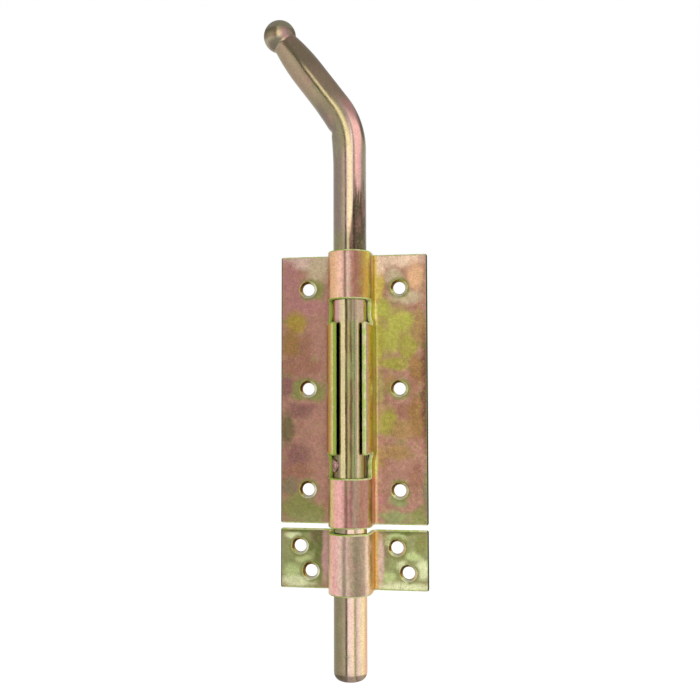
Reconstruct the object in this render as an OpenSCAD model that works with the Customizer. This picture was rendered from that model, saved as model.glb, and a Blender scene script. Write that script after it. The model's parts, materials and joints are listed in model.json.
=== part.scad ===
// Cane bolt: a round bolt bar with a bent handle, which slides and turns in a pressed guide
// plate and shoots down through a matching keeper plate. Lengths are in millimetres.
//
// The frame is that of the bolt fixed to a gate. +Z points up along the bar, the gate's face is
// the plane Y = 0, and -Y points away from the gate. The origin is the middle of the guide
// plate's screw holes, on the gate's face.

/* [Bolt bar] */
// Diameter of the round bar
bar_d = 16; // [12:0.5:18]
// Distance from the gate's face to the bar's axis
axis_depth = 12; // [11:0.5:16]
// How far the bar's tip hangs below the middle of the guide plate
tip_drop = 137.7; // [120:0.1:200]
// Rounding of the tip's edge
tip_round = 4; // [1:0.5:5]
// Height at which the lower length of the bar meets the upper length
seam_z = -54; // [-60:1:-48]

/* [Handle] */
// Height at which the bend starts
bend_z = 116.1; // [105:0.1:145]
// Radius of the bend, on the bar's axis
bend_radius = 36; // [16:1:40]
// How much the bar's radius swells where it is bent
bend_swell = 0.1; // [0.05:0.05:0.3]
// Lean of the handle away from the bar's axis, in degrees
handle_lean = 36.7; // [20:0.1:60]
// Distance from the end of the bend to the middle of the ball end
handle_reach = 46.8; // [40:0.1:85]
// Diameter of the ball end
ball_d = 16; // [14:0.5:18]
// Length over which the handle narrows towards the ball end
taper_len = 18; // [12:1:30]
// Diameter of the handle at its narrow end, inside the ball end
neck_d = 11.2; // [9:0.1:12]

/* [Stop stud] */
// Diameter of the stud
stud_d = 6; // [4:0.5:7]
// How far the stud stands out of the bar
stud_proud = 1.1; // [0.8:0.1:1.6]
// Depth of the blind hole that the stud is seated in
stud_seat = 4; // [2:0.5:5]
// Direction of the stud, in degrees to the left of straight away from the gate
stud_azimuth = 56; // [40:1:60]
// Gap between the stud and the lower knuckle when the bolt is at rest
stud_gap = 2.8; // [0.1:0.1:4]

/* [Pressed sheet] */
// Thickness of the sheet that both plates are pressed from
sheet_t = 2; // [1.5:0.1:2.5]
// Width of both plates
plate_w = 73; // [70:1:90]
// Rounding of the plates' corners
plate_corner = 1; // [0.5:0.5:4]
// Inner radius of the bends between the hump and the flanges
bend_in = 1.5; // [1:0.1:2.5]
// Clearance between the bar and the knuckles around it
knuckle_gap = 0.5; // [0.2:0.1:1]
// Clearance between the stud and the lips that it slides under
lip_gap = 0.2; // [0.1:0.1:0.5]

/* [Guide plate] */
// Height of the guide plate
guide_h = 132; // [120:1:160]
// Height of each knuckle, at the top and bottom of the guide plate
knuckle_h = 23.5; // [20:0.5:28]
// Height of the notch between a knuckle and the lips
notch_h = 10.5; // [9:0.5:14]
// How far the notches reach behind the bar's axis
notch_depth = 0.5; // [0.5:0.5:4]
// Rounding of the notches' corners
notch_round = 2; // [1:0.5:3]
// Opening of the slot between the lips, in degrees about the bar's axis
slot_angle = 82; // [60:2:100]
// Distance between the guide plate's two columns of screw holes
guide_hole_dx = 45.5; // [43:0.5:55]
// Distance between its rows of screw holes
guide_hole_dz = 49.5; // [40:0.5:55]

/* [Keeper plate] */
// Gap between the guide plate and the keeper plate
keeper_gap = 2.5; // [1:0.5:20]
// Height of the keeper plate
keeper_h = 29; // [26:1:40]
// Distance between the two screw holes of one row
keeper_hole_dx = 48; // [46:0.5:54]
// Distance between the two rows of screw holes
keeper_hole_dz = 12; // [10:0.5:14]
// How far each row is moved sideways, the upper one left and the lower one right
keeper_stagger = 2.75; // [0:0.25:3]

/* [Screw holes] */
// Diameter of a screw hole
screw_d = 6; // [4:0.5:6.5]
// Diameter of its countersink at the front of the sheet
countersink_d = 8.4; // [7:0.1:9]

/* [Hidden] */

$fn = 96;
over = 1; // how far a cutter runs past the metal it cuts, or one length of bar into the next
zinc_gold = [0.74, 0.66, 0.42];
zinc_olive = [0.62, 0.62, 0.48];

bar_r = bar_d / 2;
knuckle_r = bar_r + knuckle_gap;
stud_r = bar_r + stud_proud; // reach of the stud from the bar's axis
lip_r = stud_r + lip_gap;
lips_h = guide_h - 2 * (knuckle_h + notch_h);
middle_h = guide_h - 2 * knuckle_h;
stud_z = stud_gap + stud_d / 2 - middle_h / 2;
keeper_z = -guide_h / 2 - keeper_gap - keeper_h / 2;

// Lays the length of a shape along -Y, out of the gate, starting at the gate's face
module out_of_gate(x, z) {
    translate([x, 0, z])
        rotate([90, 0, 0])
            children();
}

// A rectangle about the origin with round corners
module rounded_rectangle(w, h, r) {
    square([w - 2 * r, h], center = true);
    square([w, h - 2 * r], center = true);
    for (x = [-1, 1], y = [-1, 1])
        translate([x * (w / 2 - r), y * (h / 2 - r)])
            circle(r);
}

// ---------- Pressed sheet ----------

// The half round crown of the hump, of inner radius r
module crown_outline(r) {
    outer = r + sheet_t;
    intersection() {
        translate([0, -axis_depth])
            difference() {
                circle(outer);
                circle(r);
            }
        translate([-outer, -axis_depth - outer])
            square([2 * outer, outer]);
    }
}

// One straight wall of the hump, the bend at its foot and the flange beyond it, on the +X side
module side_outline(r) {
    bend_out = bend_in + sheet_t;
    flange_x = r + bend_out;
    translate([r, -axis_depth])
        square([sheet_t, axis_depth - bend_out]);
    intersection() {
        translate([flange_x, -bend_out])
            difference() {
                circle(bend_out);
                circle(bend_in);
            }
        translate([r, -bend_out])
            square(bend_out);
    }
    translate([flange_x, -sheet_t])
        square([plate_w / 2 - flange_x, sheet_t]);
}

// A length of the bent sheet that stands on z, with a hump of inner radius r
module bent_sheet(r, z, h) {
    translate([0, 0, z])
        linear_extrude(h) {
            crown_outline(r);
            side_outline(r);
            mirror([1, 0])
                side_outline(r);
        }
}

// The blank with round corners that a plate is pressed from, deep enough to hold its hump
module blank(h, z) {
    out_of_gate(0, z)
        linear_extrude(axis_depth + lip_r + sheet_t + over)
            rounded_rectangle(plate_w, h, plate_corner);
}

// A countersunk screw hole through a flange
module screw_hole(x, z) {
    countersink = (countersink_d - screw_d) / 2;
    out_of_gate(x, z) {
        translate([0, 0, -over])
            cylinder(h = sheet_t + 2 * over, d = screw_d);
        translate([0, 0, sheet_t - countersink])
            cylinder(h = countersink, d1 = screw_d, d2 = countersink_d);
        translate([0, 0, sheet_t])
            cylinder(h = over, d = countersink_d);
    }
}

// ---------- Guide plate ----------

// The slot between the lips, cut square to the sheet
module slot_cut() {
    reach = axis_depth + lip_r + sheet_t;
    half_w = reach * tan(slot_angle / 2);
    translate([0, -axis_depth, -lips_h / 2 - over])
        linear_extrude(lips_h + 2 * over)
            polygon([[0, 0], [-half_w, -reach], [half_w, -reach]]);
}

// One notch across the whole hump, above or below the lips
module notch_cut(z) {
    outer = lip_r + sheet_t + over;
    reach = outer + notch_depth;
    translate([-outer, -axis_depth + notch_depth - reach / 2, z])
        rotate([90, 0, 90])
            linear_extrude(2 * outer) {
                rounded_rectangle(reach, notch_h, notch_round);
                translate([-reach / 2, -notch_h / 2])
                    square([reach / 2, notch_h]);
            }
}

module guide_plate() {
    notch_z = (lips_h + notch_h) / 2;
    color(zinc_gold)
        difference() {
            intersection() {
                union() {
                    bent_sheet(knuckle_r, -guide_h / 2, knuckle_h);
                    bent_sheet(lip_r, -middle_h / 2, middle_h);
                    bent_sheet(knuckle_r, middle_h / 2, knuckle_h);
                }
                blank(guide_h, 0);
            }
            slot_cut();
            for (side = [-1, 1])
                notch_cut(side * notch_z);
            for (column = [-0.5, 0.5], row = [-1, 0, 1])
                screw_hole(column * guide_hole_dx, row * guide_hole_dz);
        }
}

// ---------- Keeper plate ----------

module keeper_plate() {
    color(zinc_gold)
        difference() {
            intersection() {
                bent_sheet(knuckle_r, keeper_z - keeper_h / 2, keeper_h);
                blank(keeper_h, keeper_z);
            }
            for (column = [-1, 1], row = [-1, 1])
                screw_hole(column * keeper_hole_dx / 2 - row * keeper_stagger,
                           keeper_z + row * keeper_hole_dz / 2);
        }
}

// ---------- Bolt bar ----------

// The stud's round body, from reach_in to reach_out away from the bar's axis
module stud_pin(reach_in, reach_out) {
    translate([0, -axis_depth, stud_z])
        rotate([0, 0, -stud_azimuth])
            rotate([90, 0, 0])
                translate([0, 0, reach_in])
                    cylinder(h = reach_out - reach_in, d = stud_d);
}

// The lower length of the bar, with its round tip. It slides and doesn't turn.
module bolt_shoot() {
    color(zinc_olive)
        translate([0, -axis_depth, 0])
            rotate_extrude() {
                translate([0, tip_round - tip_drop])
                    square([bar_r, seam_z + tip_drop - tip_round]);
                translate([0, -tip_drop])
                    square([bar_r - tip_round, tip_round]);
                intersection() {
                    translate([bar_r - tip_round, tip_round - tip_drop])
                        circle(tip_round);
                    translate([0, -tip_drop])
                        square([bar_r, tip_round]);
                }
            }
}

// The bend: a piece of a ring about the origin that starts on the +X side, pointing up
module bend() {
    rotate([90, 0, 0])
        rotate_extrude(angle = handle_lean)
            translate([bend_radius, 0])
                circle(bar_r + bend_swell);
}

// The handle beyond the bend, drawn upright: a straight length, a taper and the ball end.
// Its straight length starts a little inside the bend.
module handle_end() {
    straight = handle_reach - taper_len;
    translate([0, 0, -over])
        cylinder(h = straight + over, r = bar_r);
    translate([0, 0, straight])
        cylinder(h = taper_len, d1 = bar_d, d2 = neck_d);
    translate([0, 0, handle_reach])
        sphere(d = ball_d);
}

// The upper length of the bar with the bent handle. It turns with the stud in it.
module bolt_handle() {
    color(zinc_olive)
        difference() {
            union() {
                translate([0, -axis_depth, seam_z])
                    cylinder(h = bend_z + over - seam_z, r = bar_r);
                // the middle of the bend's ring, to the left of the bar
                translate([-bend_radius, -axis_depth, bend_z]) {
                    bend();
                    rotate([0, -handle_lean, 0])
                        translate([bend_radius, 0, 0])
                            handle_end();
                }
            }
            stud_pin(bar_r - stud_seat, bar_d);
        }
}

// ---------- Stop stud ----------

// The stud, with its outer end rounded to the bar's curve so that it slides under the lips
module stop_stud() {
    color(zinc_gold)
        intersection() {
            stud_pin(bar_r - stud_seat, bar_d);
            translate([0, -axis_depth, stud_z - stud_d])
                cylinder(h = 2 * stud_d, r = stud_r);
        }
}

guide_plate();
keeper_plate();
bolt_shoot();
bolt_handle();
stop_stud();
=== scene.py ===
"""The looks of the cane bolt: pressed plates, a bar with a bent handle and its stud, plated in yellow zinc.

Lengths are in millimetres until a mesh is made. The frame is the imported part's: +Z up along the bar,
the gate's face in the plane Y = 0, and -Y pointing away from the gate.
"""

import json
import math

import bpy
import numpy as np
from mathutils import Matrix, Vector, noise
from mathutils.geometry import delaunay_2d_cdt


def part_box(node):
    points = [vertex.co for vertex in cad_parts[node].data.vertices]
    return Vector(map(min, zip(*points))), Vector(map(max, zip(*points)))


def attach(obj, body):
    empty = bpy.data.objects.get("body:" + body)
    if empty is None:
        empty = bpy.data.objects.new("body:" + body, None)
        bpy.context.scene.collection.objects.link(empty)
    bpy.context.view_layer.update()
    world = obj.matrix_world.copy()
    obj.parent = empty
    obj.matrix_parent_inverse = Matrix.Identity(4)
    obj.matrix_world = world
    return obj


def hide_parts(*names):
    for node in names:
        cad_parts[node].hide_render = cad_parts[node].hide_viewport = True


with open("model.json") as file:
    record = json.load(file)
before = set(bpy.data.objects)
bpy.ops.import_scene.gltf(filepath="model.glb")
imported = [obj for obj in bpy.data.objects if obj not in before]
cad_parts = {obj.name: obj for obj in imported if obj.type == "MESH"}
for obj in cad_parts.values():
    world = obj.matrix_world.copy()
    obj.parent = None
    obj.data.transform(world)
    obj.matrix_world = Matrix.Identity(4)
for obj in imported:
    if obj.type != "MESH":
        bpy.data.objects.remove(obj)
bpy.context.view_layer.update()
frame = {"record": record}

MM = 0.001

# ---------- Sizes read from the frame ----------


def box_mm(node):
    """The lowest and highest corners of a CAD node, in millimetres."""
    low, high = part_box(node)
    return low / MM, high / MM


GUIDE_LOW, GUIDE_HIGH = box_mm("guide_plate")
KEEPER_LOW, KEEPER_HIGH = box_mm("keeper_plate")
SHOOT_LOW, SHOOT_HIGH = box_mm("bolt_shoot")
STUD_LOW, STUD_HIGH = box_mm("stop_stud")

BAR_R = (SHOOT_HIGH.x - SHOOT_LOW.x) / 2
AXIS_Y = (SHOOT_HIGH.y + SHOOT_LOW.y) / 2
SEAM_Z = SHOOT_HIGH.z
SEAM_GAP = 0.03  # between the two lengths of bar, so that their faces never rub
TIP_Z = SHOOT_LOW.z
PLATE_W = GUIDE_HIGH.x - GUIDE_LOW.x

# ---------- Sizes of the details ----------

SHEET = 2.0  # thickness of the plates
BEND_IN = 1.5  # inner radius of the bends beside the hump
BEND_OUT = BEND_IN + SHEET
KNUCKLE_R = AXIS_Y - GUIDE_LOW.y - SHEET  # inner radius of the knuckles and of the keeper's hump
LIP_R = KNUCKLE_R + 0.8  # inner radius of the hump between the notches
EDGE = 0.6  # rounding of the plates' cut edges
CORNER = 1.0  # rounding of the plates' corners

LIPS_TOP = 32.0  # the lips end here, above and below the middle of the guide plate
NOTCH_TOP = 42.5  # and the notches end here
NOTCH_DEPTH = 0.5  # how far the notches reach behind the bar's axis
NOTCH_ROUND = 2.4
LIP_ROUND = 1.2
LIP_FALL = 2.0  # how far a lip's end falls from the slot to the notch's bottom
WAIST_BELOW = 5.0  # how far inside a notch's outer end the hump is narrowest
WAIST_R = 8.4  # inner radius of the hump in the notches, where it is squeezed in
PINCHED_R = 7.3  # and how close to the middle its walls come behind the bar
SLOT_LEFT = 34.0  # direction of each lip from straight away from the gate, in degrees about the bar's axis
SLOT_RIGHT = 46.0

HOLE_R = 3.0
SINK_R = 4.2  # the countersink's radius at the front of the sheet
AROUND_SINK = (-0.12, 0.12, 0.6, 1.8)  # rings of points on each side of the countersink's edge
INSET_STEPS = (0, 0.1, 0.4, 1, 1.6)  # rings of points along a cut edge, in shares of its rounding

TIP_ROUND = 4.0
BEND_R = 36.0
BEND_Z = 116.1  # the bend starts here
LEAN = 36.7  # lean of the handle, in degrees
BALL_R = 7.98
HANDLE_LENGTH = 46.8  # from the end of the bend to the middle of the ball
NECK_R = 6.25
TAPER = 24.0  # length over which the handle narrows towards the ball

STUD_AZIMUTH = 56.0  # direction of the stud, in degrees to the left of straight away from the gate
STUD_PROUD = 1.1

FLOOR_DROP = 90.0  # from the bolt's tip down to the floor
CAMERA_PLACE = (72.4, -449.5, -6.3)
CAMERA_YAW = 9.4  # in degrees, like the next two
CAMERA_PITCH = 3.21
CAMERA_ROLL = -0.11
CAMERA_LENS = 47.35

# ---------- Colours of the plating, and of the painted highlights and shade ---


def srgb(red, green, blue):
    """A colour given in 0 to 255, as a linear one."""
    share = [c / 255 for c in (red, green, blue)]
    return tuple(c / 12.92 if c <= 0.04045 else ((c + 0.055) / 1.055) ** 2.4 for c in share)


DARK = srgb(85, 72, 45)
UMBER = srgb(118, 80, 62)
DRAB = srgb(120, 108, 75)
DULL = srgb(140, 130, 100)
STEEL = srgb(140, 124, 112)
STONE = srgb(165, 145, 120)
TAN = srgb(185, 160, 135)
SAND = srgb(210, 190, 155)
STRAW = srgb(225, 210, 150)
BUTTER = srgb(240, 220, 165)
CREAM = srgb(252, 218, 188)
APRICOT = srgb(240, 190, 145)
PEACH = srgb(254, 200, 178)
BLUSH = srgb(230, 198, 182)
PINK = srgb(240, 180, 172)
DUSTY = srgb(208, 160, 155)
ROSE = srgb(192, 134, 130)
CLAY = srgb(186, 138, 120)
BRICK = srgb(170, 120, 100)
MAUVE = srgb(150, 105, 100)
COPPER = srgb(205, 155, 105)
BRONZE = srgb(165, 125, 75)
OCHRE = srgb(200, 155, 70)
GILT = srgb(182, 155, 68)
FAWN = srgb(178, 142, 92)
HUSK = srgb(165, 148, 95)
HONEY = srgb(215, 192, 95)
AMBER = srgb(238, 188, 105)
CITRON = srgb(238, 230, 130)
LEMON = srgb(210, 200, 70)
LIME = srgb(188, 188, 85)
HAY = srgb(174, 168, 75)
OLIVE = srgb(142, 124, 68)
MOSS = srgb(145, 148, 85)
FERN = srgb(110, 122, 65)
SAGE = srgb(160, 170, 112)
MINT = srgb(205, 220, 150)
PALE = srgb(245, 250, 195)

# ---------- Outlines in the flat ----------


def spread(start, stop, longest):
    """Evenly spaced numbers from start to stop, no more than that far apart."""
    return np.linspace(start, stop, math.ceil(abs(stop - start) / longest) + 1)


def round_corners(points, radii, closed=True, step=math.radians(11)):
    """The outline through points with each corner rounded to its radius by an arc."""
    out = []
    count = len(points)
    for i, radius in enumerate(radii):
        here = Vector(points[i])
        if radius == 0 or (not closed and i in (0, count - 1)):
            out.append(here)
            continue
        to_last = (Vector(points[i - 1]) - here).normalized()
        to_next = (Vector(points[(i + 1) % count]) - here).normalized()
        half = to_last.angle(to_next) / 2
        centre = here + (to_last + to_next).normalized() * radius / math.sin(half)
        start = here + to_last * radius / math.tan(half) - centre
        turn = math.pi - 2 * half
        if to_last.cross(to_next) > 0:
            turn = -turn
        steps = max(2, math.ceil(abs(turn) / step))
        for k in range(steps + 1):
            out.append(centre + Matrix.Rotation(turn * k / steps, 2) @ start)
    return out


def circle(x, z, radius, count=48):
    """A round outline."""
    angles = [2 * math.pi * i / count for i in range(count)]
    return [Vector((x + radius * math.cos(a), z + radius * math.sin(a))) for a in angles]


def refined(outline, longest):
    """The outline with points added so that no side is longer than that."""
    out = []
    for a, b in zip(outline, outline[1:] + outline[:1]):
        steps = max(1, math.ceil((b - a).length / longest))
        out += [a.lerp(b, k / steps) for k in range(steps)]
    return out


def moved_in(outline, distance):
    """The outline moved to its left by a distance, which is into the metal for every outline here."""
    out = []
    for last, here, following in zip(outline[-1:] + outline[:-1], outline, outline[1:] + outline[:1]):
        along = (following - here).normalized() + (here - last).normalized()
        out.append(here + Vector((-along.y, along.x)).normalized() * distance)
    return out


def holds(outline, point):
    """Whether a closed outline goes round a point."""
    inside = False
    for a, b in zip(outline, outline[1:] + outline[:1]):
        if (a.y > point.y) != (b.y > point.y):
            if point.x < a.x + (point.y - a.y) * (b.x - a.x) / (b.y - a.y):
                inside = not inside
    return inside


# ---------- Pressed plates ----------

CROWN_LEN = (KNUCKLE_R + SHEET / 2) * math.pi / 2
WALL_LEN = -AXIS_Y - BEND_OUT
FOOT_LEN = (BEND_IN + SHEET / 2) * math.pi / 2
FLANGE_X = KNUCKLE_R + BEND_OUT
FLAT_W = CROWN_LEN + WALL_LEN + FOOT_LEN + PLATE_W / 2 - FLANGE_X  # half the width of the flat sheet
FAR = 20.0  # a distance from an edge that is too great to matter
SETTLE = 5.0  # width of flange that takes up the difference between the hump's two radii


def smooth(share):
    """An S-shaped step from 0 to 1."""
    share = min(max(share, 0.0), 1.0)
    return share * share * (3 - 2 * share)


def pressed(s, z, hump_r, pinch):
    """Where the point (s, z) of the flat sheet ends up on its middle surface, and its outward normal."""
    side = -1 if s < 0 else 1
    s = abs(s)
    middle = hump_r + SHEET / 2
    if s <= CROWN_LEN:
        angle = s / CROWN_LEN * math.pi / 2
        x, y = middle * math.sin(angle), AXIS_Y - middle * math.cos(angle)
        nx, ny = math.sin(angle), -math.cos(angle)
    elif s <= CROWN_LEN + WALL_LEN:
        run = s - CROWN_LEN
        x, y = middle - pinch * math.sin(math.pi * run / WALL_LEN) ** 2, AXIS_Y + run
        nx, ny = 1, 0
    elif s <= CROWN_LEN + WALL_LEN + FOOT_LEN:
        angle = (s - CROWN_LEN - WALL_LEN) / FOOT_LEN * math.pi / 2
        x = hump_r + BEND_OUT - (BEND_IN + SHEET / 2) * math.cos(angle)
        y = -BEND_OUT + (BEND_IN + SHEET / 2) * math.sin(angle)
        nx, ny = math.cos(angle), -math.sin(angle)
    else:
        run = s - CROWN_LEN - WALL_LEN - FOOT_LEN
        x = FLANGE_X + run + (hump_r - KNUCKLE_R) * (1 - smooth(run / SETTLE))
        y = -SHEET / 2
        nx, ny = 0, -1
    return Vector((side * x, y, z)), Vector((side * nx, ny, 0))


def edge_drop(distance):
    """How far the sheet's rounded edge has dropped at a distance from the cut."""
    if distance >= EDGE:
        return 0.0
    return EDGE - math.sqrt(EDGE ** 2 - (EDGE - distance) ** 2)


def columns():
    """The lengths along half the flat sheet that get a row of points: close together where it bends."""
    marks = [(CROWN_LEN, 22), (WALL_LEN, 4), (FOOT_LEN, 7), (PLATE_W / 2 - FLANGE_X, 8)]
    out, start = [0.0], 0.0
    for length, steps in marks:
        out += [start + length * (i + 1) / steps for i in range(steps)]
        start += length
    return out


def pressed_plate(name, low_z, high_z, windows, holes, hump_at):
    """A plate cut in the flat and pressed to shape. Its outlines keep the metal on their left."""
    corners = [(-FLAT_W, low_z), (FLAT_W, low_z), (FLAT_W, high_z), (-FLAT_W, high_z)]
    outer = refined(round_corners(corners, [CORNER] * 4), 2.0)
    windows = [refined(w, 0.8) for w in windows]
    points, drops, edges, sides = [], [], [], []

    def add_loop(loop, drop, edge):
        first = len(points)
        points.extend(loop)
        drops.extend([drop] * len(loop))
        edges.extend([edge] * len(loop))
        sides.extend((first + i, first + (i + 1) % len(loop)) for i in range(len(loop)))

    for outline in [outer, *windows]:
        for distance in (step * EDGE for step in INSET_STEPS):
            add_loop(moved_in(outline, distance), edge_drop(distance), distance)
    for x, z in holes:
        for radius in (HOLE_R, (HOLE_R + SINK_R) / 2, *(SINK_R + more for more in AROUND_SINK)):
            add_loop(circle(x, z, radius), max(SINK_R - radius, 0), FAR)
    near = np.array([p[:] for p in points])
    for z in spread(low_z, high_z, 2.2)[1:-1]:
        for s in columns():
            for place in {(s, z), (-s, z)}:
                if abs(place[0]) < FLAT_W - 2 * EDGE and np.hypot(*(near - place).T).min() > 0.3:
                    points.append(Vector(place))
                    drops.append(0.0)
                    edges.append(FAR)
    flat, _, triangles, origins, _, _ = delaunay_2d_cdt(points, sides, [], 0, 1e-5)
    kept = []
    for triangle in triangles:
        middle = sum((flat[i] for i in triangle), Vector((0, 0))) / 3
        bored = any((middle - Vector(hole)).length < HOLE_R for hole in holes)
        if not bored and holds(outer, middle) and not any(holds(w, middle) for w in windows):
            kept.append(triangle)
    front, back, from_edge, from_hole = [], [], [], []
    for place, origin in zip(flat, origins):
        drop = drops[origin[0]] if origin else 0.0
        middle, normal = pressed(place.x, place.y, *hump_at(place.y))
        front.append(middle + normal * (SHEET / 2 - drop))
        back.append(middle - normal * (SHEET / 2 - min(drop, EDGE) * 0.4))
        from_edge.append(edges[origin[0]] if origin else FAR)
        from_hole.append(min((place - Vector(hole)).length for hole in holes))
    piece, used = plate_mesh(name, front, back, kept)
    from_front = [0.0] * len(front) + [1.0] * len(back)
    measures = {"from_edge": from_edge * 2, "from_hole": from_hole * 2, "from_front": from_front}
    for kind, values in measures.items():
        marks = piece.data.attributes.new(kind, "FLOAT", "POINT")
        marks.data.foreach_set("value", [values[i] for i in used])
    return piece


def plate_mesh(name, front, back, triangles):
    """A closed mesh from the front and back of a sheet, joined round its rims, and which points it uses."""
    count = len(front)
    faces = [tuple(t) for t in triangles] + [tuple(i + count for i in reversed(t)) for t in triangles]
    uses = {(a, b) for t in triangles for a, b in zip(t, t[1:] + t[:1])}
    for a, b in sorted(uses):
        if (b, a) not in uses:
            faces.append((b, a, a + count, b + count))
    return make_piece(name, front + back, faces), sorted({i for face in faces for i in face})


def make_piece(name, points, faces, sharp=38):
    """An object from points in millimetres, shaded smooth except across edges sharper than that angle."""
    used = sorted({i for face in faces for i in face})
    number = {old: new for new, old in enumerate(used)}
    mesh = bpy.data.meshes.new(name)
    mesh.from_pydata([points[i] * MM for i in used], [], [[number[i] for i in face] for face in faces])
    mesh.shade_smooth()
    mesh.set_sharp_from_angle(angle=math.radians(sharp))
    piece = bpy.data.objects.new(name, mesh)
    bpy.context.scene.collection.objects.link(piece)
    return piece


def hump_window():
    """The slot between the lips and the notches at its ends, running clockwise round the opening."""
    left, right = (CROWN_LEN * angle / 90 for angle in (SLOT_LEFT, SLOT_RIGHT))
    notch = CROWN_LEN + NOTCH_DEPTH
    low = LIPS_TOP - LIP_FALL
    corners = [
        (-notch, NOTCH_TOP, NOTCH_ROUND), (notch, NOTCH_TOP, NOTCH_ROUND), (notch, low, NOTCH_ROUND),
        (right, LIPS_TOP, LIP_ROUND), (right, -LIPS_TOP, LIP_ROUND), (notch, -low, NOTCH_ROUND),
        (notch, -NOTCH_TOP, NOTCH_ROUND), (-notch, -NOTCH_TOP, NOTCH_ROUND), (-notch, -low, NOTCH_ROUND),
        (-left, -LIPS_TOP, LIP_ROUND), (-left, LIPS_TOP, LIP_ROUND), (-notch, low, NOTCH_ROUND),
    ]
    return round_corners([c[:2] for c in corners], [c[2] for c in corners])


def flat_x(x):
    """The length along the flat sheet that ends up at x on a flange."""
    return math.copysign(FLAT_W - PLATE_W / 2 + abs(x), x)


def screw_places(plate):
    """The screw holes of a plate's mounts, as (length along the flat sheet, height)."""
    out = []
    for mount in frame["record"]["mounts"]:
        if mount["kind"] != "bolt_pattern" or not mount["name"].startswith(plate):
            continue
        x, _, z = [c / MM for c in mount["pos_m"]]
        across = mount["dims"]["spacing_x_mm"] / 2
        up = mount["dims"].get("spacing_y_mm", 0) / 2
        for height in {z - up, z + up}:
            out += [(flat_x(x - across), height), (flat_x(x + across), height)]
    return out


def hump_shape(z):
    """The inner radius of the guide plate's hump, and how far its walls lean in: squeezed at the notches."""
    up = abs(z)
    waist = NOTCH_TOP - WAIST_BELOW
    if up < waist:
        share = smooth((up - LIPS_TOP + 1.5) / (waist - LIPS_TOP))
        radius = LIP_R + (WAIST_R - LIP_R) * share
    else:
        share = smooth((up - waist) / (NOTCH_TOP - 0.5 - waist))
        radius = WAIST_R + (KNUCKLE_R - WAIST_R) * share
    lean_in = smooth((up - LIPS_TOP + 4) / 3) * smooth((NOTCH_TOP + 5 - up) / 4)
    return radius, (radius - PINCHED_R) * lean_in


def guide_plate():
    piece = pressed_plate("guide_sheet", GUIDE_LOW.z, GUIDE_HIGH.z, [hump_window()],
                          screw_places("guide"), hump_shape)
    return fit(piece, "guide", "guide_plate")


def keeper_plate():
    piece = pressed_plate("keeper_sheet", KEEPER_LOW.z, KEEPER_HIGH.z, [], screw_places("keeper"),
                          lambda z: (KNUCKLE_R, 0.0))
    return fit(piece, "guide", "keeper_plate")


def fit(piece, body, node):
    """Puts a piece on its body in place of its CAD node."""
    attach(piece, body)
    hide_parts(node)
    return piece


# ---------- Bolt bar ----------


def round_bar(name, stations, around=80):
    """A bar through stations of (centre, lean, radius, swell), closed at both ends by a point.

    The lean is in radians. The swell is added to the radius on the side that the bar leans to.
    """
    points = [stations[0][0]]
    for centre, lean, radius, swell in stations[1:-1]:
        across = Vector((math.cos(lean), 0, math.sin(lean)))
        for k in range(around):
            angle = 2 * math.pi * k / around
            reach = radius + swell * max(-math.cos(angle), 0) ** 2
            points.append(centre + (across * math.cos(angle) + Vector((0, math.sin(angle), 0))) * reach)
    points.append(stations[-1][0])
    faces = []
    end = len(points) - 1
    for k in range(around):
        following = (k + 1) % around
        faces.append((0, 1 + following, 1 + k))
        faces.append((end, end - around + k, end - around + following))
        for ring in range(len(stations) - 3):
            low, high = 1 + ring * around, 1 + (ring + 1) * around
            faces.append((low + k, low + following, high + following, high + k))
    return make_piece(name, points, faces)


def on_axis(z, radius):
    """A station of the upright bar."""
    return Vector((0, AXIS_Y, z)), 0.0, radius, 0.0


def seam_end(z, inward):
    """The flat end of one length of bar at the seam, with its edge just broken."""
    broken = 0.15
    return [on_axis(z, 0), on_axis(z, BAR_R - broken), on_axis(z + inward * broken, BAR_R)]


def bolt_shoot():
    """The lower length of the bar, from its round tip up to the seam."""
    stations = [on_axis(TIP_Z, 0), on_axis(TIP_Z, (BAR_R - TIP_ROUND) * 0.6)]
    for angle in np.linspace(-math.pi / 2, 0, 10):
        radius = BAR_R - TIP_ROUND + TIP_ROUND * math.cos(angle)
        stations.append(on_axis(TIP_Z + TIP_ROUND + TIP_ROUND * math.sin(angle), radius))
    stations += [on_axis(z, BAR_R) for z in spread(TIP_Z + TIP_ROUND, SEAM_Z - 1, 3.0)[1:]]
    stations += reversed(seam_end(SEAM_Z - SEAM_GAP, -1))
    return fit(round_bar("shoot_bar", stations), "shoot", "bolt_shoot")


LEAN_SIN, LEAN_COS = math.sin(math.radians(LEAN)), math.cos(math.radians(LEAN))
BALL_MIDDLE = Vector((
    BEND_R * (LEAN_COS - 1) - HANDLE_LENGTH * LEAN_SIN,
    AXIS_Y,
    BEND_Z + BEND_R * LEAN_SIN + HANDLE_LENGTH * LEAN_COS,
))


def handle_profile():
    """The radius of the handle along its straight length, as (distance from the bend, radius)."""
    profile = [(run, BAR_R) for run in spread(0, HANDLE_LENGTH - TAPER, 1.5)[1:]]
    shoulder = math.sqrt(BALL_R ** 2 - NECK_R ** 2)  # the neck meets the ball this far from its middle
    for to_ball in spread(TAPER, shoulder + 0.4, 1.2)[1:]:
        share = (to_ball - shoulder) / (TAPER - shoulder)
        profile.append((HANDLE_LENGTH - to_ball, NECK_R + (BAR_R - NECK_R) * share * (1.93 - 0.93 * share)))
    start = math.asin(NECK_R / BALL_R)
    for angle in np.linspace(start + 0.06, math.pi, 26):
        profile.append((HANDLE_LENGTH - BALL_R * math.cos(angle), BALL_R * math.sin(angle)))
    return profile


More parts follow.
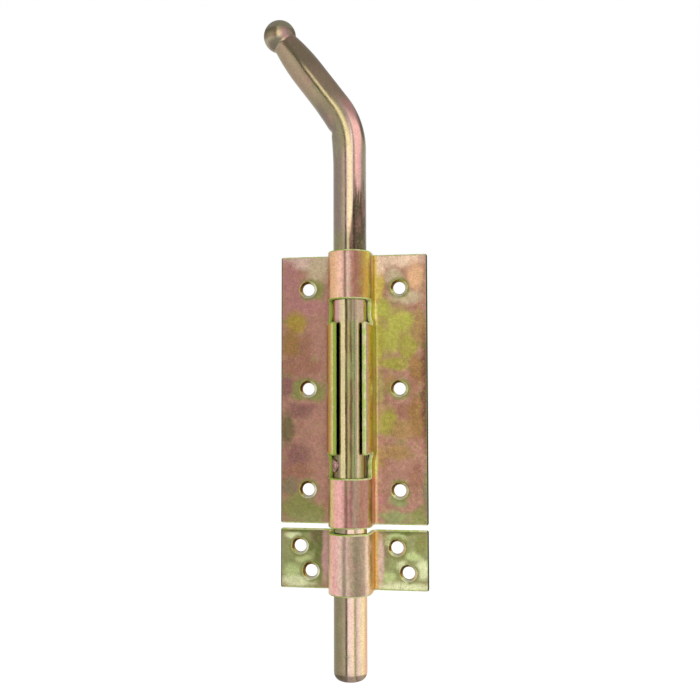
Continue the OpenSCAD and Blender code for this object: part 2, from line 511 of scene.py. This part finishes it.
def bend_swell(from_middle):
    """How much the bar swells on the inner side of its bend: a crease between two low bulges."""
    crease = -0.75 * math.exp(-(from_middle / 2.2) ** 2)
    bulges = sum(0.38 * math.exp(-((from_middle - side * 9) / 6) ** 2) for side in (-1, 1))
    return crease + bulges


def bolt_handle():
    """The upper length of the bar, the bend and the leaning handle with its ball end."""
    lean = math.radians(LEAN)
    half_bend = BEND_R * lean / 2
    stations = seam_end(SEAM_Z, 1)
    for z in [*spread(SEAM_Z + 1, BEND_Z - 21, 3.0), *spread(BEND_Z - 20, BEND_Z, 1.5)]:
        stations.append((Vector((0, AXIS_Y, z)), 0.0, BAR_R, bend_swell(z - BEND_Z - half_bend)))
    for angle in spread(0, lean, 1 / BEND_R)[1:]:
        centre = Vector((BEND_R * (math.cos(angle) - 1), AXIS_Y, BEND_Z + BEND_R * math.sin(angle)))
        stations.append((centre, angle, BAR_R, bend_swell(BEND_R * angle - half_bend)))
    along = Vector((-math.sin(lean), 0, math.cos(lean)))
    bend_end = stations[-1][0]
    for run, radius in handle_profile():
        stations.append((bend_end + along * run, lean, radius, bend_swell(run + half_bend)))
    return fit(round_bar("handle_bar", stations), "handle", "bolt_handle")


def stop_stud():
    """The stud's uneven, hammered head, which stays inside the round end of the CAD stud."""
    azimuth = math.radians(STUD_AZIMUTH)
    out = Vector((-math.sin(azimuth), -math.cos(azimuth), 0))
    across = Vector((math.cos(azimuth), -math.sin(azimuth), 0))
    centre = Vector((0, AXIS_Y, (STUD_LOW.z + STUD_HIGH.z) / 2))
    stud_r = (STUD_HIGH.z - STUD_LOW.z) / 2
    rings, around = 14, 56
    points = []
    for ring in range(rings + 1):
        share = ring / rings
        for k in range(around):
            angle = 2 * math.pi * k / around
            x, z = stud_r * share * math.cos(angle), stud_r * share * math.sin(angle)
            lump = 0.5 + 0.5 * noise.noise(Vector((x, z, 3.7)) * 0.9)
            dent = 0.35 * lump + 0.5 * share ** 8
            height = math.sqrt((BAR_R + STUD_PROUD) ** 2 - x * x) - dent
            points.append(centre + across * x + out * height + Vector((0, 0, z)))
    foot = len(points)
    for k in range(around):
        angle = 2 * math.pi * k / around
        points.append(centre + across * stud_r * math.cos(angle) + out * (BAR_R - 1.5)
                      + Vector((0, 0, stud_r * math.sin(angle))))
    faces = []
    for ring in range(rings + 1):
        for k in range(around):
            low, following = ring * around, (k + 1) % around
            faces.append((low + k, low + following, low + around + following, low + around + k))
    faces.append(tuple(range(foot, foot + around)))
    return fit(make_piece("stud_head", points, faces), "handle", "stop_stud")


# ---------- Materials ----------


class Nodes:
    """A node tree, with short ways to add to it.

    Each input, by name or number, is a value or another node's output.
    """

    def __init__(self, tree):
        self.tree = tree

    def add(self, kind, inputs=None, **settings):
        """A new node with these settings."""
        made = self.tree.nodes.new("ShaderNode" + kind)
        for name, value in settings.items():
            setattr(made, name, value)
        for key, value in (inputs or {}).items():
            if isinstance(value, bpy.types.NodeSocket):
                self.tree.links.new(value, made.inputs[key])
            else:
                made.inputs[key].default_value = value
        return made

    def part(self, vector, axis):
        """The x, y or z of a vector."""
        return self.add("SeparateXYZ", {0: vector}).outputs["XYZ".index(axis)]

    def calc(self, operation, a, b=0.0):
        return self.add("Math", {0: a, 1: b}, operation=operation).outputs[0]

    def rescaled(self, value, low, high, to_low=0.0, to_high=1.0):
        """The value taken smoothly from one range to another, and held at its ends."""
        inputs = {"Value": value, "From Min": low, "From Max": high, "To Min": to_low, "To Max": to_high}
        return self.add("MapRange", inputs, interpolation_type="SMOOTHSTEP").outputs["Result"]

    def mix(self, share, a, b, kind="MIX"):
        """Colour a turning into colour b."""
        made = self.add("Mix", data_type="RGBA", blend_type=kind, clamp_factor=True)
        for socket, value in zip((made.inputs[0], made.inputs[6], made.inputs[7]), (share, a, b)):
            if isinstance(value, bpy.types.NodeSocket):
                self.tree.links.new(value, socket)
            elif socket.type == "RGBA":
                socket.default_value = (*value, 1)
            else:
                socket.default_value = value
        return made.outputs[2]

    def ramp(self, value, stops):
        """Colours by value: stops are (value, colour), lowest first."""
        made = self.add("ValToRGB", {"Fac": value})
        band = made.color_ramp
        band.elements[0].position, band.elements[1].position = stops[0][0], stops[-1][0]
        band.elements[0].color, band.elements[1].color = (*stops[0][1], 1), (*stops[-1][1], 1)
        for position, colour in stops[1:-1]:
            band.elements.new(position).color = (*colour, 1)
        return made.outputs["Color"]


class Plating(Nodes):
    """The material of one plated finish. Places are in millimetres."""

    def __init__(self, name):
        self.material = bpy.data.materials.new(name)
        self.material.use_nodes = True
        super().__init__(self.material.node_tree)
        self.shader = self.tree.nodes["Principled BSDF"]
        coordinates = self.add("TexCoord")
        metres = coordinates.outputs["Object"]
        scaled = self.add("VectorMath", {0: metres, "Scale": 1 / MM}, operation="SCALE")
        self.place = scaled.outputs[0]
        self.normal = coordinates.outputs["Normal"]

    def rescaled_evenly(self, value):
        """A value from -1 to 1, as one from 0 to 1."""
        return self.calc("MULTIPLY", self.calc("ADD", value, 1.0), 0.5)

    def stretched(self, x, y, z):
        """Places stretched by a factor along each axis."""
        inputs = {0: self.place, 1: (1 / x, 1 / y, 1 / z)}
        return self.add("VectorMath", inputs, operation="MULTIPLY").outputs[0]

    def noise(self, size, detail=3.0, place=None, roughness=0.55):
        """Noise from 0 to 1 with features of about that size."""
        inputs = {"Vector": place or self.place, "Scale": 1 / size, "Detail": detail, "Roughness": roughness}
        return self.add("TexNoise", inputs).outputs["Fac"]

    def patches(self, colour, patches, wander):
        """The colour with soft patches laid over it: each is (x, z, half width, half height, tint)."""
        drift = self.add("TexNoise", {"Vector": self.place, "Scale": 1 / 7, "Detail": 4.0}).outputs["Color"]
        shift = self.add("VectorMath", {0: drift, 1: (0.5, 0.5, 0.5)}, operation="SUBTRACT").outputs[0]
        moved = self.add("VectorMath", {0: shift, 1: (wander,) * 3, 2: self.place}, operation="MULTIPLY_ADD")
        moved = moved.outputs[0]
        for x, z, half_w, half_h, tint in patches:
            inputs = {0: moved, 1: (1 / half_w, 0, 1 / half_h), 2: (-x / half_w, 0, -z / half_h)}
            scaled = self.add("VectorMath", inputs, operation="MULTIPLY_ADD").outputs[0]
            far = self.add("VectorMath", {0: scaled}, operation="LENGTH").outputs["Value"]
            colour = self.mix(self.rescaled(far, 1.3, 0.5, 0.0, PATCH_STRENGTH), colour, tint)
        return colour

    def by_height(self, first, *others):
        """Colours that take over from each other up the object.

        After the first, each is (height, half the fade, colour), lowest first.
        """
        colour = first
        for start, fade, tint in others:
            share = self.rescaled(self.part(self.place, "Z"), start - fade, start + fade)
            colour = self.mix(share, colour, tint)
        return colour

    def mark(self, name):
        """A number that the plate's mesh carries, such as the distance from a cut edge."""
        return self.add("Attribute", attribute_name=name).outputs["Fac"]

    def distance(self, middle):
        """The distance from a point."""
        return self.add("VectorMath", {0: self.place, 1: middle}, operation="DISTANCE").outputs["Value"]

    def both(self, *shares):
        """The product of several shares from 0 to 1."""
        out = shares[0]
        for share in shares[1:]:
            out = self.calc("MULTIPLY", out, share)
        return out

    def grained(self, colour, size, contrast):
        """The colour made lighter and darker by grain of about that size."""
        light = self.rescaled(self.noise(size, 3.0), 0.3, 0.7, 1 - contrast, 1 + contrast)
        return self.add("VectorMath", {0: colour, "Scale": light}, operation="SCALE").outputs[0]

    def finish(self, colour, roughness, bump, depth):
        """Connects the metal's colour and roughness, and a bump of that depth in millimetres."""
        links = self.tree.links
        links.new(colour, self.shader.inputs["Base Color"])
        links.new(roughness, self.shader.inputs["Roughness"])
        self.shader.inputs["Metallic"].default_value = 1.0
        relief = self.add("Bump", {"Height": bump, "Distance": depth * MM, "Strength": 1.0})
        links.new(relief.outputs["Normal"], self.shader.inputs["Normal"])
        return self.material


# Bands of colour round a bar or hump, by the way the surface faces: (place, colour), where 0 faces left, 0.5
# straight out and 1 right
# They hold the plating's tints together with painted highlights, painted reflections and painted shade: pale
# streaks and dark lines
BAR_LOW = [
    (0.05, DULL), (0.3, DULL), (0.4, STONE), (0.46, STONE), (0.52, BLUSH), (0.63, BLUSH), (0.69, BUTTER),
    (0.73, TAN), (0.8, BLUSH), (0.92, BUTTER), (0.96, APRICOT), (1.0, COPPER),
]
BAR_SLOT = [
    (0.2, DRAB), (0.27, STONE), (0.32, STRAW), (0.36, SAND), (0.42, BUTTER), (0.45, HUSK), (0.48, DRAB),
    (0.54, HUSK), (0.6, DARK), (0.64, DRAB), (0.69, SAGE), (0.76, STONE), (0.8, SAND), (0.9, OLIVE),
]
BAR_NOTCH = [
    (0.05, COPPER), (0.12, DUSTY), (0.2, DUSTY), (0.25, SAND), (0.36, SAND), (0.4, BUTTER), (0.45, DRAB),
    (0.48, DARK), (0.54, STONE), (0.62, DRAB), (0.69, TAN), (0.75, STONE), (0.8, TAN), (0.92, TAN),
    (0.95, STRAW), (1.0, HONEY),
]
BAR_FOOT = [
    (0.05, DULL), (0.33, DULL), (0.41, STONE), (0.46, DULL), (0.52, SAND), (0.57, DRAB), (0.68, DRAB),
    (0.75, DARK), (1.0, DARK),
]
BAR_TOP = [
    (0.05, STEEL), (0.3, STEEL), (0.37, STONE), (0.42, TAN), (0.49, BLUSH), (0.6, BUTTER), (0.65, BLUSH),
    (0.7, TAN), (0.77, PINK), (0.88, DUSTY), (0.92, STEEL), (1.0, DULL),
]
# On the bend and handle, a painted highlight: a pale streak down the middle, with darker edges as painted
# shade
HANDLE = [
    (0.0, OLIVE), (0.12, STONE), (0.3, STONE), (0.45, DULL), (0.48, BUTTER), (0.52, BUTTER), (0.56, TAN),
    (0.75, TAN), (0.92, STONE), (1.0, OLIVE),
]
BEND = [
    (0.0, OLIVE), (0.12, STEEL), (0.42, DULL), (0.46, BUTTER), (0.56, BUTTER), (0.62, SAND), (0.66, BLUSH),
    (0.8, PINK), (0.9, PINK), (0.94, STEEL), (1.0, OLIVE),
]
HANDLE_TOP = [
    (0.0, OLIVE), (0.15, STONE), (0.35, STONE), (0.47, DULL), (0.55, STONE), (0.9, STONE), (1.0, OLIVE),
]
# On the ball, a painted highlight: cream near the middle and pink to the right, with the left painted darker
BALL = [
    (0.0, DRAB), (0.3, DULL), (0.48, DULL), (0.56, BUTTER), (0.62, SAND), (0.7, DUSTY), (0.82, STEEL),
    (1.0, DRAB),
]
HUMP_TOP = [
    (0.0, COPPER), (0.05, COPPER), (0.1, APRICOT), (0.2, APRICOT), (0.36, PEACH), (0.42, PEACH),
    (0.46, CLAY), (0.48, CLAY), (0.52, BLUSH), (0.6, CLAY), (0.66, BRICK), (0.74, BRICK), (0.82, BRONZE),
    (0.92, OCHRE), (0.96, LEMON), (1.0, BRONZE),
]
HUMP_LIPS = [
    (0.0, BRICK), (0.05, OCHRE), (0.13, OCHRE), (0.18, STRAW), (0.82, MINT), (0.88, SAGE), (0.92, CLAY),
    (0.94, OCHRE), (0.97, LEMON), (1.0, LEMON),
]
HUMP_LOW = [
    (0.0, COPPER), (0.06, OCHRE), (0.12, STRAW), (0.18, APRICOT), (0.24, PINK), (0.43, PINK), (0.46, CLAY),
    (0.485, MAUVE), (0.54, CLAY), (0.6, MAUVE), (0.69, TAN), (0.8, BRICK), (0.93, CLAY), (0.97, OCHRE),
    (1.0, BRONZE),
]
HUMP_KEEPER = [
    (0.0, APRICOT), (0.03, CREAM), (0.12, PEACH), (0.2, PINK), (0.36, BLUSH), (0.42, TAN), (0.44, TAN),
    (0.5, BLUSH), (0.58, TAN), (0.65, STONE), (0.78, STONE), (0.87, TAN), (0.93, CREAM), (0.97, APRICOT),
    (1.0, OCHRE),
]

# The walls and fillets at the foot of the hump: the lowest colour, then those that take over up the object
# The right side's paler, yellower colours are a painted highlight over the plating's tint
FOOT_LEFT = [
    APRICOT, (GUIDE_LOW.z - 1, 0.5, CLAY), (-NOTCH_TOP, 2.0, COPPER), (NOTCH_TOP, 2.0, DUSTY),
]
FOOT_RIGHT = [
    AMBER, (GUIDE_LOW.z - 1, 0.5, APRICOT), (-NOTCH_TOP, 2.0, CITRON), (NOTCH_TOP, 2.0, HONEY),
]

# Soft patches on the plates, from the top down: (x, z, half width, half height, tint) in millimetres
PATCH_STRENGTH = 0.92
LEFT_FLANGE = [
    (-24, 64, 14, 5, BLUSH), (-33, 58, 6, 7, ROSE), (-18, 60, 6, 9, SAND), (-31, 48, 6, 9, ROSE),
    (-18, 49, 4, 5, MOSS), (-23, 40, 12, 5, ROSE), (-29, 33, 6, 6, GILT), (-31, 22, 5, 8, BRONZE),
    (-18, 27, 6, 12, CLAY), (-24, 20, 4, 8, BRICK), (-32, 11, 6, 5, BRICK), (-22, 11, 7, 4, BRICK),
    (-28, 0, 4, 6, MOSS), (-34, 1, 4, 6, MAUVE), (-18, -2, 4, 5, MOSS), (-26, -11, 9, 4, MAUVE),
    (-18, -15, 6, 6, CLAY), (-34, -20, 4, 8, DRAB), (-20, -27, 8, 8, CLAY), (-28, -33, 7, 7, MAUVE),
    (-17, -38, 5, 5, CLAY), (-28, -41, 9, 4, BRICK), (-32, -48, 5, 5, DULL), (-17, -50, 4, 7, CLAY),
    (-28, -58, 9, 7, MOSS), (-20, -61, 6, 6, MOSS),
]
RIGHT_FLANGE = [
    (22, 64, 14, 5, CREAM), (13, 60, 3, 5, CREAM), (31, 55, 5, 7, APRICOT), (20, 55, 5, 4, SAND),
    (13, 50, 3, 7, HONEY), (26, 45, 8, 4, SAND), (15, 39, 4, 6, LIME), (23, 33, 8, 7, LIME),
    (18, 24, 6, 7, LIME), (27, 21, 5, 8, HAY), (13, 24, 3, 12, HAY), (33, 30, 4, 10, FAWN),
    (20, 12, 8, 4, HAY), (31, 9, 4, 8, BRONZE), (18, 2, 4, 5, FAWN), (28, 1, 3, 5, BRICK),
    (13, 0, 3, 9, HUSK), (17, -16, 5, 8, HAY), (24, -11, 5, 4, BRICK), (24, -20, 6, 5, FAWN),
    (31, -14, 4, 12, BRONZE), (22, -31, 8, 4, FAWN), (13, -34, 3, 6, FAWN), (23, -40, 8, 4, CLAY),
    (15, -46, 4, 7, CLAY), (31, -43, 4, 8, BRICK), (14, -54, 3, 3, ROSE), (22, -55, 5, 3, SAGE),
    (20, -62, 9, 3, SAGE), (32, -62, 4, 4, MOSS), (36, 46, 2, 14, CLAY), (36, 0, 3, 34, UMBER),
    (36, -52, 2, 14, DULL),
]
KEEPER_PATCHES = [
    (-25, -82, 17, 20, SAGE), (-25, -69, 14, 2, FERN), (-30, -72, 4, 2, PALE), (-18, -72, 4, 4, DRAB),
    (-22, -77, 3, 3, FERN), (-17, -82, 3, 12, FERN), (-25, -83, 4, 2, MINT), (-31, -89, 5, 4, MINT),
    (-28, -94, 9, 3, PALE), (-14, -81, 2, 14, DUSTY), (26, -82, 17, 20, SAGE), (25, -69, 14, 2, FERN),
    (21, -72, 5, 2, MINT), (17, -75, 2, 2, PALE), (33, -75, 3, 5, MOSS), (16, -79, 3, 3, STONE),
    (29, -81, 4, 2, MINT), (24, -86, 3, 3, PALE), (33, -87, 4, 5, PALE), (17, -91, 4, 3, MINT),
    (24, -96, 14, 3, PALE), (13, -84, 2, 12, BLUSH),
]


def sheet_plating():
    """Plates: rainbow patches on the flanges, bands of colour with painted highlights and shade round the
    hump, cut edges painted pale as highlights.
    """
    p = Plating("yellow_zinc_sheet")
    mottle = p.noise(6.0, 5.0)
    flange = p.ramp(mottle, [(0.3, BRICK), (0.45, CLAY), (0.55, CLAY), (0.7, MOSS)])
    flange = p.patches(flange, LEFT_FLANGE + RIGHT_FLANGE, 6.0)
    flange = p.patches(flange, KEEPER_PATCHES, 2.5)
    speck = p.noise(0.9, 4.0)
    flange = p.mix(p.rescaled(speck, 0.52, 0.68, 0.0, 0.3), flange, srgb(205, 120, 125))
    flange = p.mix(p.rescaled(speck, 0.48, 0.32, 0.0, 0.3), flange, LIME)
    from_hole = p.mark("from_hole")
    ring = p.rescaled(from_hole, SINK_R + 2.2, SINK_R + 0.5)
    ring = p.both(ring, p.rescaled(p.noise(4.0, 3.0), 0.35, 0.55, 0.2, 0.85))
    flange = p.mix(ring, flange, MOSS)
    # The hump's bands by the way it faces: the plating's tints with painted highlights and painted shade,
    # changing at the notches
    wander = p.calc("MULTIPLY", p.calc("SUBTRACT", p.noise(1.8, 4.0, p.stretched(1, 1, 6)), 0.5), 0.06)
    turned = p.calc("ADD", p.rescaled_evenly(p.part(p.normal, "X")), wander)
    hump = p.by_height(
        p.ramp(turned, HUMP_KEEPER), (GUIDE_LOW.z - 1, 0.5, p.ramp(turned, HUMP_LOW)),
        (-NOTCH_TOP + 1, 0.5, p.ramp(turned, HUMP_LIPS)), (NOTCH_TOP - 1, 0.5, p.ramp(turned, HUMP_TOP)),
    )
    # The walls and fillets at the hump's foot, behind the bar's axis, with a painted highlight on the right
    right = p.rescaled(p.part(p.place, "X"), -1.0, 1.0)
    foot = p.mix(right, p.by_height(*FOOT_LEFT), p.by_height(*FOOT_RIGHT))
    hump = p.mix(p.rescaled(p.part(p.place, "Y"), AXIS_Y + 0.2, AXIS_Y + 1.2), hump, foot)
    blush = p.noise(3.0, 5.0, p.stretched(1, 1, 2))
    hump = p.mix(p.rescaled(blush, 0.52, 0.7, 0.0, 0.35), hump, ROSE)
    hump = p.mix(p.rescaled(blush, 0.48, 0.3, 0.0, 0.3), hump, SAGE)
    away = p.calc("ABSOLUTE", p.part(p.place, "X"))
    # Painted shade on the hump's inside: its back surface, which faces the bar, made dark olive
    inside = p.both(p.rescaled(p.mark("from_front"), 0.5, 0.9), p.rescaled(away, FLANGE_X, FLANGE_X - 1))
    hump = p.mix(inside, hump, srgb(112, 100, 48))
    colour = p.mix(p.rescaled(away, KNUCKLE_R + SHEET + 0.4, FLANGE_X + 0.6), hump, flange)
    colour = p.grained(p.grained(colour, 0.5, 0.16), 1.4, 0.1)
    # Painted highlight and shade in the countersinks: pale where the cone faces left and up, dark brown
    # where it faces right and down
    front = p.rescaled(p.part(p.place, "Y"), -0.3, -0.7)
    cone = p.both(p.rescaled(from_hole, SINK_R + 0.25, SINK_R - 0.1), front)
    facing = p.calc("ADD", p.part(p.normal, "X"), p.calc("MULTIPLY", p.part(p.normal, "Z"), -0.8))
    facing = p.calc("ADD", facing, p.calc("MULTIPLY", p.calc("SUBTRACT", p.noise(2.2, 3.0), 0.5), 1.6))
    sink_highlight_and_shade = p.ramp(p.calc("MULTIPLY", p.calc("ADD", facing, 1.0), 0.5), [
        (0.3, srgb(255, 255, 225)), (0.55, srgb(250, 250, 180)), (0.7, srgb(195, 175, 85)),
        (0.85, srgb(120, 85, 40)),
    ])
    colour = p.mix(cone, colour, sink_highlight_and_shade)
    colour = p.mix(p.rescaled(from_hole, HOLE_R + 0.25, HOLE_R + 0.05), colour, srgb(150, 110, 60))
    # The cut edges: a painted highlight, pale cream and lime on the hump's left half, and painted shade,
    # dark green, on the plate's outer sides
    rim = p.rescaled(p.mark("from_edge"), EDGE * 1.3, EDGE * 0.7)
    side = p.rescaled(away, PLATE_W / 2 - 0.9, PLATE_W / 2 - 0.4)
    cut = p.mix(p.rescaled(p.noise(3.0, 3.0), 0.4, 0.6), srgb(255, 252, 214), srgb(232, 246, 160))
    cut = p.mix(p.both(p.rescaled(p.part(p.place, "X"), 0, -3), p.rescaled(away, FLANGE_X, FLANGE_X - 1)),
                cut, srgb(206, 222, 118))
    colour = p.mix(rim, colour, p.mix(side, cut, srgb(88, 100, 50)))
    roughness = p.rescaled(p.noise(2.5, 5.0), 0.25, 0.75, 0.26, 0.44)
    worn = p.calc("MAXIMUM", p.calc("MULTIPLY", rim, 0.85), p.calc("MULTIPLY", cone, 0.5))
    roughness = p.calc("MAXIMUM", roughness, worn)
    waves = p.calc("MULTIPLY", p.noise(7.0, 2.0), 1.6)
    grit = p.calc("MULTIPLY", p.noise(0.6, 4.0), 0.3)
    return p.finish(colour, roughness, p.calc("ADD", grit, waves), 0.10)


def bar_plating():
    """Bar and handle: drawn metal with long streaks; bands of tint, painted highlights and shade fade up the
    handle.
    """
    p = Plating("yellow_zinc_bar")
    height = p.part(p.place, "Z")
    streak = p.calc("SUBTRACT", p.noise(1.2, 5.0, p.stretched(1, 1, 10)), 0.5)
    turn = p.rescaled_evenly(p.part(p.normal, "X"))
    turned = p.calc("ADD", turn, p.calc("MULTIPLY", streak, 0.05))
    ragged = p.calc("ADD", turn, p.calc("MULTIPLY", streak, 0.09))
    slot, notch = p.ramp(ragged, BAR_SLOT), p.ramp(ragged, BAR_NOTCH)
    # The bar's bands by the way it faces, changing up the bar: the plating's tints with painted highlights,
    # painted reflections and painted shade
    colour = p.by_height(
        p.ramp(turned, BAR_LOW), (-NOTCH_TOP - 8, 7.0, slot), (LIPS_TOP, 2.0, notch),
        (NOTCH_TOP + 8, 7.0, p.ramp(turned, BAR_FOOT)), (GUIDE_HIGH.z + 9, 5.0, p.ramp(turned, BAR_TOP)),
        (BEND_Z, 8.0, p.ramp(turned, BEND)), (BEND_Z + 24, 5.0, p.ramp(turned, HANDLE)),
        (BEND_Z + 40, 5.0, p.ramp(turned, HANDLE_TOP)),
    )
    # Painted highlight and shade on the ball: the BALL bands by the way it faces, darker where it faces
    # sideways than up or down
    upward = p.calc("ABSOLUTE", p.part(p.normal, "Z"))
    ball_painted_light = p.mix(p.rescaled(upward, 0.2, 0.4), p.ramp(turn, BALL), srgb(175, 168, 140))
    on_ball = p.rescaled(p.distance(BALL_MIDDLE), BALL_R + 0.6, BALL_R + 0.2)
    colour = p.mix(on_ball, colour, ball_painted_light)
    # painted reflection of the guide plate: a dark stretch of the bar above it, on the right of a slanting
    # line
    slant = p.calc("ADD", turned, p.calc("MULTIPLY", p.calc("SUBTRACT", height, GUIDE_HIGH.z), -0.0045))
    frayed = p.calc("ADD", height, p.calc("MULTIPLY", streak, 36.0))
    plate_reflection = p.both(p.rescaled(slant, 0.54, 0.59), p.rescaled(frayed, GUIDE_HIGH.z + 38, GUIDE_HIGH.z + 22),
                  p.rescaled(height, GUIDE_HIGH.z - 14, GUIDE_HIGH.z - 2))
    plate_reflection_tint = p.ramp(p.noise(0.9, 5.0), [
        (0.35, srgb(70, 60, 40)), (0.5, srgb(90, 80, 60)), (0.6, srgb(100, 80, 70)), (0.7, DRAB),
    ])
    colour = p.mix(plate_reflection, colour, plate_reflection_tint)
    blotch = p.noise(6.0, 4.0, p.stretched(1, 1, 3))
    colour = p.mix(p.rescaled(blotch, 0.52, 0.72, 0.0, 0.35), colour, SAGE)
    colour = p.mix(p.rescaled(blotch, 0.48, 0.28, 0.0, 0.35), colour, ROSE)
    colour = p.grained(p.grained(colour, 0.6, 0.08), 1.2, 0.05)
    roughness = p.rescaled(p.noise(3.0, 5.0), 0.25, 0.75, 0.10, 0.24)
    roughness = p.calc("MAXIMUM", roughness, p.calc("MULTIPLY", on_ball, 0.36))
    grit = p.calc("MULTIPLY", p.noise(0.5, 3.0), 0.25)
    waves = p.calc("MULTIPLY", p.noise(5.0, 2.0), 0.8)
    return p.finish(colour, roughness, p.calc("ADD", grit, waves), 0.05)


def stud_plating():
    """Stud: rough hammered metal, mottled."""
    p = Plating("yellow_zinc_stud")
    mottle = p.noise(1.6, 4.0)
    colour = p.ramp(mottle, [(0.32, UMBER), (0.42, ROSE), (0.5, STEEL), (0.58, PINK), (0.68, CREAM)])
    roughness = p.rescaled(p.noise(1.0, 4.0), 0.3, 0.7, 0.25, 0.5)
    return p.finish(colour, roughness, p.noise(0.8, 4.0), 0.2)


# ---------- Studio ----------


# The ring of soft boxes round the object: direction in degrees from straight in front, to the right, and
# brightness. Between the bright boxes are narrow dark gaps.
SOFT_BOXES = [
    (-180, 0.75), (-112, 0.85), (-78, 0.95), (-52, 1.1), (-28, 1.1), (-23, 0.12), (-16, 0.25), (-9, 1.25),
    (30, 1.25), (35, 0.45), (41, 0.5), (46, 1.15), (180, 1.05),
]
# How high the boxes reach, in degrees, by direction
BOX_TOPS = [(-180, 18), (20, 22), (45, 38), (100, 38), (125, 18), (180, 18)]
BOX_FOOT = -22
DIM = 0.42  # brightness above and below the soft boxes


def studio_world():
    """A pale background, and round the object a ring of soft boxes, which the metal reflects."""
    world = bpy.data.worlds.new("studio")
    bpy.context.scene.world = world
    world.use_nodes = True
    n = Nodes(world.node_tree)
    direction = n.add("TexCoord").outputs["Generated"]
    outward = n.calc("MULTIPLY", n.part(direction, "Y"), -1.0)
    azimuth = n.calc("ARCTAN2", n.part(direction, "X"), outward)
    share = n.add("MapRange", {"Value": azimuth, "From Min": -math.pi, "From Max": math.pi}).outputs[0]
    ring = n.ramp(share, [((a + 180) / 360, (light,) * 3) for a, light in SOFT_BOXES])
    tops = n.ramp(share, [((a + 180) / 360, (math.sin(math.radians(top)),) * 3) for a, top in BOX_TOPS])
    height = n.part(direction, "Z")
    below_top = n.rescaled(n.calc("SUBTRACT", height, tops), 0.1, -0.06)
    foot = math.sin(math.radians(BOX_FOOT))
    above_foot = n.rescaled(height, foot - 0.06, foot + 0.06)
    light = n.mix(n.calc("MULTIPLY", below_top, above_foot), (DIM,) * 3, ring)
    seen = n.mix(n.add("LightPath").outputs["Is Camera Ray"], light, (1.0, 1.0, 1.0))
    n.tree.links.new(seen, n.tree.nodes["Background"].inputs["Color"])


def floor():
    """A plain pale floor below the bolt's tip."""
    half = 6.0
    points = [(-half, -half), (half, -half), (half, half), (-half, half)]
    mesh = bpy.data.meshes.new("floor")
    mesh.from_pydata([(x, y, (TIP_Z - FLOOR_DROP) * MM) for x, y in points], [], [(0, 1, 2, 3)])
    piece = bpy.data.objects.new("floor", mesh)
    bpy.context.scene.collection.objects.link(piece)
    material = bpy.data.materials.new("pale_floor")
    material.use_nodes = True
    shader = material.node_tree.nodes["Principled BSDF"]
    shader.inputs["Base Color"].default_value = (0.9, 0.9, 0.9, 1)
    shader.inputs["Roughness"].default_value = 0.9
    shader.inputs["Emission Color"].default_value = (1, 1, 1, 1)
    shader.inputs["Emission Strength"].default_value = 0.6
    mesh.materials.append(material)
    piece.visible_glossy = False


def camera():
    """The camera: a little to the right of the bolt, level with the guide plate's middle."""
    yaw, pitch, roll = (math.radians(a) for a in (CAMERA_YAW, CAMERA_PITCH, CAMERA_ROLL))
    look = Vector((-math.sin(yaw) * math.cos(pitch), math.cos(yaw) * math.cos(pitch), math.sin(pitch)))
    right = Vector((math.cos(yaw), math.sin(yaw), 0))
    up = right.cross(look)
    across = right * math.cos(roll) + up * math.sin(roll)
    upward = up * math.cos(roll) - right * math.sin(roll)
    data = bpy.data.cameras.new("camera")
    data.sensor_width = 36
    data.lens = CAMERA_LENS
    data.clip_start = 0.02
    eye = bpy.data.objects.new("camera", data)
    turned = Matrix((across, upward, -look)).transposed().to_4x4()
    eye.matrix_world = Matrix.Translation(Vector(CAMERA_PLACE) * MM) @ turned
    bpy.context.scene.collection.objects.link(eye)
    bpy.context.scene.camera = eye


# ---------- The scene ----------

sheet, bar, stud = sheet_plating(), bar_plating(), stud_plating()
for piece, material in [
    (guide_plate(), sheet),
    (keeper_plate(), sheet),
    (bolt_shoot(), bar),
    (bolt_handle(), bar),
    (stop_stud(), stud),
]:
    piece.data.materials.append(material)

studio_world()
floor()
camera()
bpy.context.scene.view_settings.view_transform = "Standard"
